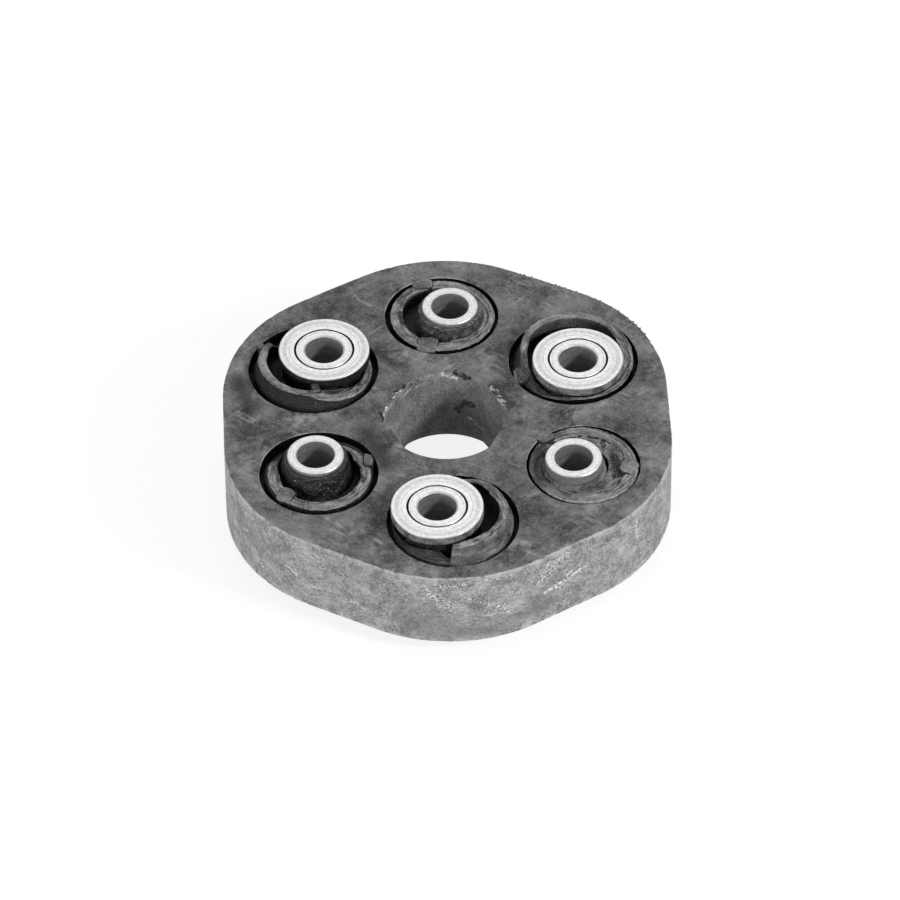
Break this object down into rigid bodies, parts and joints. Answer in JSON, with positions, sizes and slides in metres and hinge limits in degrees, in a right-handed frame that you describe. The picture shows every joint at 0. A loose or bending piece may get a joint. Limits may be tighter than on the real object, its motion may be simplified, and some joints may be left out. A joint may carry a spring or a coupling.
{
  "type": "driveshaft flex disc",
  "caption": "Round-cornered hexagonal rubber coupling disc with steel bolt sleeves on a bolt circle, flange washers on alternate sleeves and cord loops inside.",
  "frame": {"origin": "centre of the disc, midway between its two faces", "axes": "+Z along the driveshaft, out of the face with flange washers 1 to 3 of the top; +X through the middle of a flat side"},
  "size_m": [0.1436, 0.15, 0.0384],
  "materials": {
    "disc_rubber": "moulded black rubber, greyed and chalky from handling",
    "collar_rubber": "rubber-coated guide collar, slightly textured",
    "turned_steel": "bright turned steel with fine lathe marks",
    "spacer_aluminium": "plain turned aluminium, hidden in the rubber",
    "wound_cord": "wound polyester cord, hidden in the rubber"
  },
  "bodies": {
    "root": {"rubber_disc": "disc_rubber", "bolt_sleeve_1": "turned_steel", "bolt_sleeve_2": "turned_steel", "bolt_sleeve_3": "turned_steel", "bolt_sleeve_4": "turned_steel", "bolt_sleeve_5": "turned_steel", "bolt_sleeve_6": "turned_steel", "top_flange_washer_1": "turned_steel", "top_flange_washer_2": "turned_steel", "top_flange_washer_3": "turned_steel", "bottom_flange_washer_1": "turned_steel", "bottom_flange_washer_2": "turned_steel", "bottom_flange_washer_3": "turned_steel", "top_guide_collar_1": "collar_rubber", "top_guide_collar_2": "collar_rubber", "top_guide_collar_3": "collar_rubber", "top_guide_collar_4": "collar_rubber", "top_guide_collar_5": "collar_rubber", "top_guide_collar_6": "collar_rubber", "bottom_guide_collar_1": "collar_rubber", "bottom_guide_collar_2": "collar_rubber", "bottom_guide_collar_3": "collar_rubber", "bottom_guide_collar_4": "collar_rubber", "bottom_guide_collar_5": "collar_rubber", "bottom_guide_collar_6": "collar_rubber", "spacer_collar_1": "spacer_aluminium", "spacer_collar_2": "spacer_aluminium", "spacer_collar_3": "spacer_aluminium", "spacer_collar_4": "spacer_aluminium", "spacer_collar_5": "spacer_aluminium", "spacer_collar_6": "spacer_aluminium", "traction_cord_loop_1": "wound_cord", "traction_cord_loop_2": "wound_cord", "traction_cord_loop_3": "wound_cord", "thrust_cord_loop_1": "wound_cord", "thrust_cord_loop_2": "wound_cord", "thrust_cord_loop_3": "wound_cord"}
  },
  "joints": []
}
